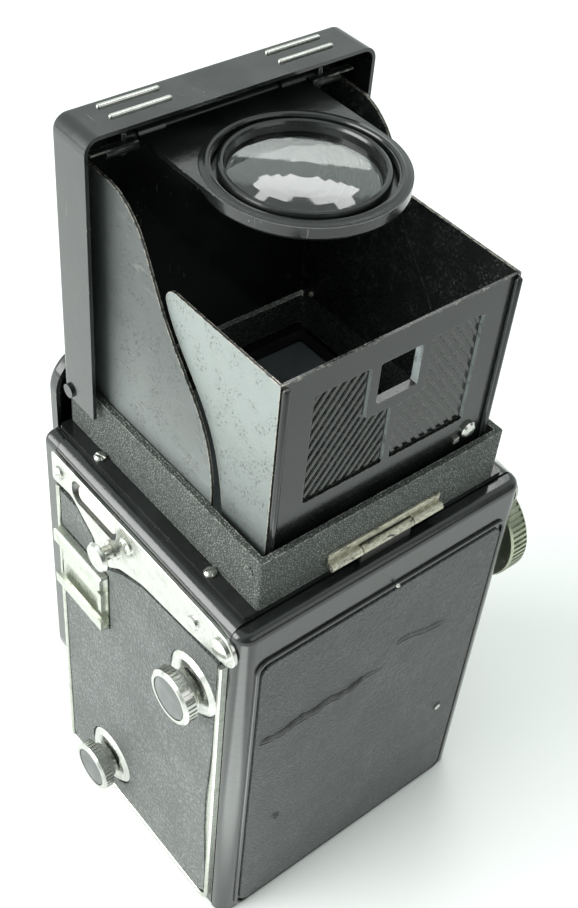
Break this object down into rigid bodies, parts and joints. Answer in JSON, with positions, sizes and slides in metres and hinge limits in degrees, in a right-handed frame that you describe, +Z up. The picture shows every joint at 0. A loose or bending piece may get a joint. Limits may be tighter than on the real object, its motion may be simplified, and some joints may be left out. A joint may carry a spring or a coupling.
{
  "type": "twin lens reflex camera",
  "caption": "Box-shaped film camera with two stacked lenses, an open folding viewing hood with a flip-up magnifier, side knobs and a top-hinged back door.",
  "frame": {"origin": "centre of the tripod socket's mouth, on the base", "axes": "+Z up through the hood, -Y towards the subject (lens side), +X the user's left"},
  "size_m": [0.0939, 0.095, 0.185],
  "materials": {
    "black_enamel": "glossy black enamel, slightly worn",
    "brass": "aged brass",
    "crackle_paint": "black crackle paint",
    "glass": "clear coated glass",
    "ground_glass": "ground glass",
    "ivory": "cream enamel",
    "lacquer": "satin black lacquer, worn at the edges",
    "leatherette": "pebbled dark grey leather",
    "mirror_glass": "silvered mirror",
    "nickel": "polished nickel, a little dull",
    "plain_steel": "bare steel",
    "spool_metal": "black lacquered steel"
  },
  "bodies": {
    "camera": {"body_shell": "black_enamel", "base_plate": "black_enamel", "front_band": "black_enamel", "tripod_bush": "plain_steel", "dark_chamber": "black_enamel", "mirror_box": "black_enamel", "finder_mirror": "mirror_glass", "screen_frame": "black_enamel", "focusing_screen": "ground_glass", "side_leather": "leatherette", "side_trim": "nickel", "strap_plates": "nickel", "strap_inlays": "ivory", "strap_studs": "nickel", "screws": "nickel", "accessory_shoe": "nickel", "shoe_spring": "nickel", "knob_flanges": "nickel", "body_knuckles": "brass", "door_hinge_pin": "plain_steel", "hood_flange_plate": "black_enamel", "hood_frame": "crackle_paint"},
    "hood_lid": {"hood_lid": "lacquer", "lid_strips": "nickel", "lid_wings": "lacquer", "lid_pins": "nickel", "magnifier_rod": "plain_steel"},
    "rear_shell": {"rear_panel": "lacquer", "rear_wings": "lacquer", "rear_pins": "nickel", "rear_stud": "nickel"},
    "magnifier": {"magnifier_frame": "lacquer", "magnifier_lens": "glass"},
    "back_door": {"back_door": "black_enamel", "door_leather": "leatherette", "pressure_plate": "spool_metal", "pressure_spring": "plain_steel", "door_knuckle": "brass"},
    "door_latch": {"door_latch": "nickel"},
    "winding": {"wind_knob": "nickel", "wind_shaft": "plain_steel", "take_up_spool": "spool_metal"},
    "supply": {"supply_spool": "spool_metal"},
    "roller": {"film_roller": "plain_steel"},
    "upper_knob": {"spool_knob_upper": "nickel", "knob_inlay_upper": "leatherette"},
    "lower_knob": {"spool_knob_lower": "nickel", "knob_inlay_lower": "leatherette"},
    "focus_drive": {"focus_knob": "nickel", "focus_pinion": "plain_steel"},
    "lens_standard": {"lens_panel": "black_enamel", "focus_rack": "plain_steel", "viewing_barrel": "lacquer", "taking_barrel": "lacquer", "lens_glasses": "glass", "shutter_housing": "lacquer"},
    "aperture_control": {"aperture_lever": "nickel"},
    "cocking_control": {"cocking_lever": "nickel"},
    "release_control": {"release_lever": "nickel"},
    "speed_control": {"speed_ring": "nickel"}
  },
  "joints": [
    {"name": "lid_hinge", "type": "hinge", "parent": "camera", "child": "hood_lid", "pos_m": [0, -0.0332, 0.1209], "axis": [-1, 0, 0], "range_deg": [0, 12]},
    {"name": "rear_shell_hinge", "type": "hinge", "parent": "camera", "child": "rear_shell", "pos_m": [0, 0.0256, 0.118], "axis": [1, 0, 0], "range_deg": [0, 88]},
    {"name": "magnifier_hinge", "type": "hinge", "parent": "hood_lid", "child": "magnifier", "pos_m": [0, -0.0302, 0.1784], "axis": [-1, 0, 0], "range_deg": [0, 85]},
    {"name": "door_hinge", "type": "hinge", "parent": "camera", "child": "back_door", "pos_m": [0, 0.0299, 0.1113], "axis": [1, 0, 0], "range_deg": [0, 100]},
    {"name": "door_latch_slide", "type": "slide", "parent": "back_door", "child": "door_latch", "axis": [1, 0, 0], "range_m": [0, 0.0016]},
    {"name": "wind_turn", "type": "hinge", "parent": "camera", "child": "winding", "pos_m": [-0.04, 0.019, 0.0805], "axis": [-1, 0, 0], "continuous": true},
    {"name": "supply_turn", "type": "hinge", "parent": "camera", "child": "supply", "pos_m": [0, -0.0132, 0.014], "axis": [1, 0, 0], "continuous": true},
    {"name": "roller_turn", "type": "hinge", "parent": "camera", "child": "roller", "pos_m": [0, 0.0253, 0.0092], "axis": [1, 0, 0], "continuous": true},
    {"name": "upper_knob_pull", "type": "slide", "parent": "camera", "child": "upper_knob", "axis": [1, 0, 0], "range_m": [0, 0.006], "stiffness_N_per_m": 200},
    {"name": "lower_knob_pull", "type": "slide", "parent": "camera", "child": "lower_knob", "axis": [1, 0, 0], "range_m": [0, 0.006], "stiffness_N_per_m": 200},
    {"name": "focus_turn", "type": "hinge", "parent": "camera", "child": "focus_drive", "pos_m": [-0.04, -0.02, 0.055], "axis": [1, 0, 0], "range_deg": [0, 100.5]},
    {"name": "focus_slide", "type": "slide", "parent": "camera", "child": "lens_standard", "axis": [0, -1, 0], "range_m": [0, 0.007]},
    {"name": "aperture_turn", "type": "hinge", "parent": "lens_standard", "child": "aperture_control", "pos_m": [0, -0.0436, 0.045], "axis": [0, 1, 0], "range_deg": [0, 40]},
    {"name": "cocking_turn", "type": "hinge", "parent": "lens_standard", "child": "cocking_control", "pos_m": [0, -0.0464, 0.045], "axis": [0, -1, 0], "range_deg": [0, 35]},
    {"name": "release_turn", "type": "hinge", "parent": "lens_standard", "child": "release_control", "pos_m": [0, -0.0492, 0.045], "axis": [0, -1, 0], "range_deg": [0, 12], "stiffness_Nm_per_rad": 0.01},
    {"name": "speed_turn", "type": "hinge", "parent": "lens_standard", "child": "speed_control", "pos_m": [0, -0.052, 0.045], "axis": [0, 1, 0], "range_deg": [0, 180]}
  ],
  "couplings": [
    {"joint": "focus_turn", "follows": "focus_slide", "rad_per_m": 250}
  ]
}
